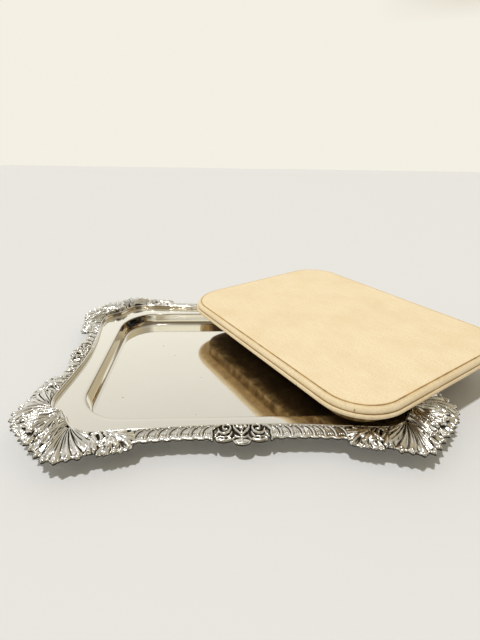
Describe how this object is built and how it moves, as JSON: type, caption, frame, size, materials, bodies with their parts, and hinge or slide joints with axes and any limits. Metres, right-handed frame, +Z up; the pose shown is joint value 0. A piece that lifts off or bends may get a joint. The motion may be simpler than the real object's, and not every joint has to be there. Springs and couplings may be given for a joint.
{
  "type": "serving tray with bread board",
  "caption": "Oblong silver-plated salver with a sunk rectangular well, a cast gadroon, shell and leaf border, and a pale wooden bread board that fits the well.",
  "frame": {"origin": "centre of the underside of the well, on the table", "axes": "+X along the long side of the tray, -Y the front, +Z up"},
  "size_m": [0.5023, 0.3859, 0.0561],
  "materials": {
    "polished_plate": "mirror-polished silver plate with fine scratches and small tarnish spots",
    "cast_silver": "bright silver-plated castings, dark in the hollows",
    "pale_wood": "smooth bare pale wood with two dark grooves round the edge"
  },
  "bodies": {
    "tray": {"tray_plate": "polished_plate", "inner_moulding": "polished_plate", "corner_mount_front_left": "cast_silver", "corner_mount_front_right": "cast_silver", "corner_mount_back_left": "cast_silver", "corner_mount_back_right": "cast_silver", "gadroon_strip_front_left": "cast_silver", "gadroon_strip_front_right": "cast_silver", "gadroon_strip_back_left": "cast_silver", "gadroon_strip_back_right": "cast_silver", "gadroon_strip_left_front": "cast_silver", "gadroon_strip_left_back": "cast_silver", "gadroon_strip_right_front": "cast_silver", "gadroon_strip_right_back": "cast_silver", "shell_mount_front": "cast_silver", "shell_mount_back": "cast_silver", "shell_mount_left": "cast_silver", "shell_mount_right": "cast_silver"},
    "board": {"bread_board": "pale_wood"}
  },
  "joints": [
    {"name": "board_lift", "type": "slide", "parent": "tray", "child": "board", "axis": [0, 0, 1], "range_m": [0, 0.15]}
  ]
}
